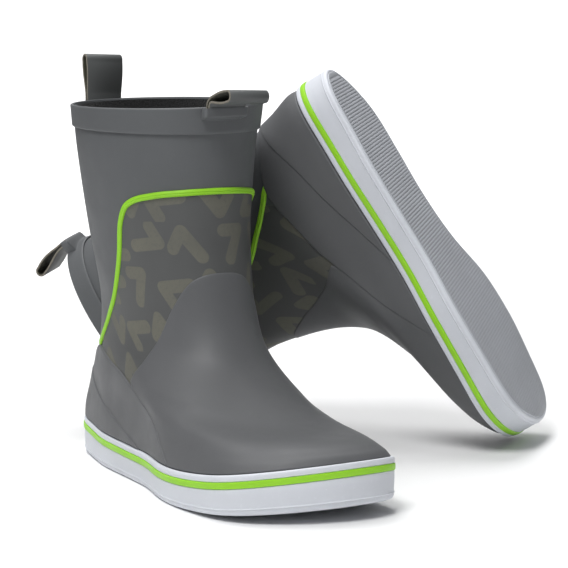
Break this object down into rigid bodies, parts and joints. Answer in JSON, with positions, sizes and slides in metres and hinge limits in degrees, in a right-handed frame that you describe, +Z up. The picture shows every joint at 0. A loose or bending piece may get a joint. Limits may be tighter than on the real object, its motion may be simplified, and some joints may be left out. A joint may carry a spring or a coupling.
{
  "type": "deck boots",
  "caption": "A pair of short rubber deck boots with a printed ankle panel, a lime stripe and two pull loops on each shaft. One boot stands and the other lies tipped over beside it.",
  "frame": {"origin": "the middle of the standing boot's heel, on the ground", "axes": "+X towards the standing boot's toe, +Y to its left, on the tipped boot's side, +Z up"},
  "size_m": [0.417, 0.3531, 0.2918],
  "materials": {
    "boot_rubber": "matte grey, with a soft satin sheen",
    "print": "matte warm grey with a tone-on-tone print",
    "lime": "satin lime",
    "sidewall": "matte, pale cool grey",
    "outsole": "matte mid grey, finely siped",
    "foam": "matte, dark",
    "lining": "black knitted textile"
  },
  "bodies": {
    "right_boot": {"right_outsole": "outsole", "right_midsole": "foam", "right_insole_board": "foam", "right_footbed": "lining", "right_sidewall": "sidewall", "right_stripe": "lime", "right_lining": "lining", "right_foot_outer": "boot_rubber", "right_foot_inner": "boot_rubber", "right_leg_outer": "boot_rubber", "right_leg_inner": "boot_rubber", "right_vamp": "boot_rubber", "right_heel_cover": "boot_rubber", "right_heel_patch": "boot_rubber", "right_printed_panel": "print", "right_piping": "lime", "right_cuff": "boot_rubber", "right_front_tab": "boot_rubber", "right_back_tab": "boot_rubber"},
    "right_front_pull": {"right_front_loop": "boot_rubber"},
    "right_back_pull": {"right_back_loop": "boot_rubber"},
    "left_boot": {"left_outsole": "outsole", "left_midsole": "foam", "left_insole_board": "foam", "left_footbed": "lining", "left_sidewall": "sidewall", "left_stripe": "lime", "left_lining": "lining", "left_foot_outer": "boot_rubber", "left_foot_inner": "boot_rubber", "left_leg_outer": "boot_rubber", "left_leg_inner": "boot_rubber", "left_vamp": "boot_rubber", "left_heel_cover": "boot_rubber", "left_heel_patch": "boot_rubber", "left_printed_panel": "print", "left_piping": "lime", "left_cuff": "boot_rubber", "left_front_tab": "boot_rubber", "left_back_tab": "boot_rubber"},
    "left_front_pull": {"left_front_loop": "boot_rubber"},
    "left_back_pull": {"left_back_loop": "boot_rubber"}
  },
  "joints": [
    {"name": "left_boot_pick_up", "type": "slide", "parent": "right_boot", "child": "left_boot", "axis": [0, 0.7071, 0.7071], "range_m": [0, 0.3]},
    {"name": "right_front_loop_bend", "type": "hinge", "parent": "right_boot", "child": "right_front_pull", "pos_m": [0.12244, 0.006, 0.24864], "axis": [0, 1, 0], "range_deg": [-90, 35], "stiffness_Nm_per_rad": 0.02},
    {"name": "right_back_loop_bend", "type": "hinge", "parent": "right_boot", "child": "right_back_pull", "pos_m": [-0.05243, -0.002, 0.25861], "axis": [0, -1, 0], "range_deg": [-25, 100], "stiffness_Nm_per_rad": 0.02},
    {"name": "left_front_loop_bend", "type": "hinge", "parent": "left_boot", "child": "left_front_pull", "pos_m": [-0.07329, 0.09025, 0.01142], "axis": [0.638, -0.75, -0.1744], "range_deg": [-5, 120], "stiffness_Nm_per_rad": 0.02},
    {"name": "left_back_loop_bend", "type": "hinge", "parent": "left_boot", "child": "left_back_pull", "pos_m": [-0.12685, 0.00117, 0.15263], "axis": [-0.638, 0.75, 0.1744], "range_deg": [-10, 115], "stiffness_Nm_per_rad": 0.02}
  ]
}
